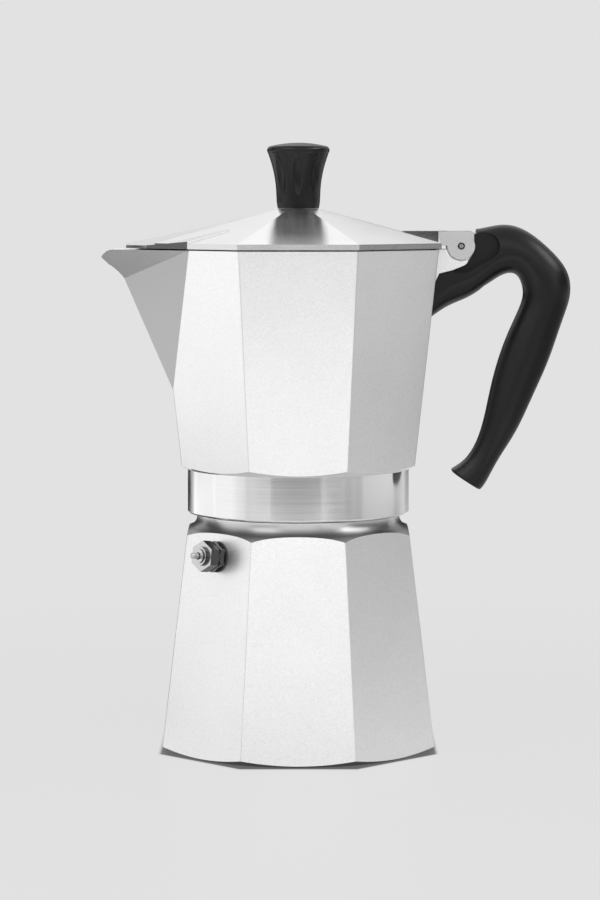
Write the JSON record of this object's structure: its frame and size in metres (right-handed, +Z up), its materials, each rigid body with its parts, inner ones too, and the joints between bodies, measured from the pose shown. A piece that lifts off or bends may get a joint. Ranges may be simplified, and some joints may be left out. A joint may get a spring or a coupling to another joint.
{
  "type": "moka pot",
  "caption": "Octagonal stovetop espresso pot: screw-together boiler and jug, funnel filter, safety valve, V-shaped spout, hinged lid with a fluted knob, curved side handle.",
  "frame": {"origin": "centre of the flat base, on the pot's axis", "axes": "+Z up along the pot's axis, +X towards the handle, -X towards the spout"},
  "size_m": [0.1936, 0.1162, 0.2502],
  "materials": {
    "cast_aluminium": "satin, fine grained",
    "sheet_aluminium": "brushed",
    "nickel": "turned, nickel plated",
    "steel": "turned",
    "brass": "turned",
    "phenolic": "satin moulded",
    "silicone": "matt"
  },
  "bodies": {
    "boiler": {"boiler": "cast_aluminium", "valve_body": "nickel", "valve_washer": "silicone", "valve_retainer": "brass", "valve_spring": "steel"},
    "valve_stem": {"valve_stem": "steel", "valve_seal": "silicone"},
    "funnel": {"funnel_basket": "sheet_aluminium", "funnel_screen": "sheet_aluminium", "funnel_tube": "sheet_aluminium"},
    "gasket": {"gasket": "silicone"},
    "filter_plate": {"filter_plate": "sheet_aluminium"},
    "collector": {"collector": "cast_aluminium", "column": "cast_aluminium", "column_cap": "cast_aluminium", "handle": "phenolic", "handle_screw": "steel", "hinge_pin": "steel"},
    "lid": {"lid": "sheet_aluminium", "knob": "phenolic", "knob_insert": "brass", "knob_screw": "steel", "knob_washer": "steel"}
  },
  "joints": [
    {"name": "valve_pop", "type": "slide", "parent": "boiler", "child": "valve_stem", "axis": [-0.7022, -0.7022, 0.1172], "range_m": [0, 0.0012], "stiffness_N_per_m": 1500, "springref_m": -0.004, "deforming": ["valve_spring"]},
    {"name": "funnel_lift", "type": "slide", "parent": "boiler", "child": "funnel", "axis": [0, 0, 1], "range_m": [0, 0.11]},
    {"name": "collector_lift", "type": "slide", "parent": "boiler", "child": "gasket", "axis": [0, 0, 1], "range_m": [0, 0.22]},
    {"name": "thread_travel", "type": "slide", "parent": "gasket", "child": "filter_plate", "axis": [0, 0, 1], "range_m": [0, 0.0046]},
    {"name": "collector_turn", "type": "hinge", "parent": "filter_plate", "child": "collector", "pos_m": [0, 0, 0.11], "axis": [0, 0, 1], "range_deg": [0, 540]},
    {"name": "lid_hinge", "type": "hinge", "parent": "collector", "child": "lid", "pos_m": [0.0668, 0, 0.2079], "axis": [0, 1, 0], "range_deg": [0, 92]}
  ],
  "couplings": [
    {"joint": "thread_travel", "follows": "collector_turn", "m_per_rad": 0.00047746},
    {"joint": "funnel_lift", "follows": "collector_lift", "ratio": 0.5}
  ]
}
